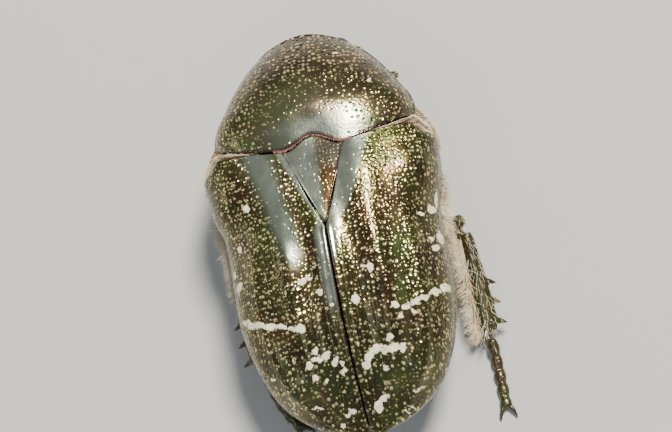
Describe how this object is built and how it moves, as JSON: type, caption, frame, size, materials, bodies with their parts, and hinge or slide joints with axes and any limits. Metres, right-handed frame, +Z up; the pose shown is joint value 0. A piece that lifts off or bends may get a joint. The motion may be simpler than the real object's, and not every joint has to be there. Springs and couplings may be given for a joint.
{
  "type": "rose chafer beetle",
  "caption": "Life-size still beetle with shield-shaped pronotum, triangular scutellum, ridged wing covers, leaf-clubbed feelers and toothed shins, for display on a flat surface.",
  "frame": {"origin": "centre of the bounding box in plan, at the level of the feet", "axes": "-Y is toward the head, +Z is up toward the back, -X is the beetle's right side"},
  "size_m": [0.0118, 0.0184, 0.0079],
  "materials": {
    "shell": "metallic olive bronze with green and copper sheen, coarse punctures and cream marks",
    "body": "dark coppery bronze, punctured, with pale hair at the sides",
    "felt": "cream felted scales over dark bronze",
    "eye": "glossy near-black facets",
    "feeler": "dark reddish brown, satin",
    "leg": "dark bronze, ribbed with pale bristles"
  },
  "bodies": {
    "root": {"elytron_right": "shell", "elytron_left": "shell", "scutellum": "shell", "pronotum": "shell", "pygidium": "shell", "thorax": "body", "abdomen": "body", "prothorax": "body", "head": "body", "mouthparts": "body", "mesepimeron_right": "felt", "mesepimeron_left": "felt", "eye_right": "eye", "eye_left": "eye", "antenna_stem_right": "feeler", "antenna_stem_left": "feeler", "antenna_club_right": "feeler", "antenna_club_left": "feeler", "femur_fore_right": "leg", "tibia_fore_right": "leg", "tarsus_fore_right": "leg", "femur_fore_left": "leg", "tibia_fore_left": "leg", "tarsus_fore_left": "leg", "femur_middle_right": "leg", "tibia_middle_right": "leg", "tarsus_middle_right": "leg", "femur_middle_left": "leg", "tibia_middle_left": "leg", "tarsus_middle_left": "leg", "femur_hind_right": "leg", "tibia_hind_right": "leg", "tarsus_hind_right": "leg", "femur_hind_left": "leg", "tibia_hind_left": "leg", "tarsus_hind_left": "leg"}
  },
  "joints": []
}
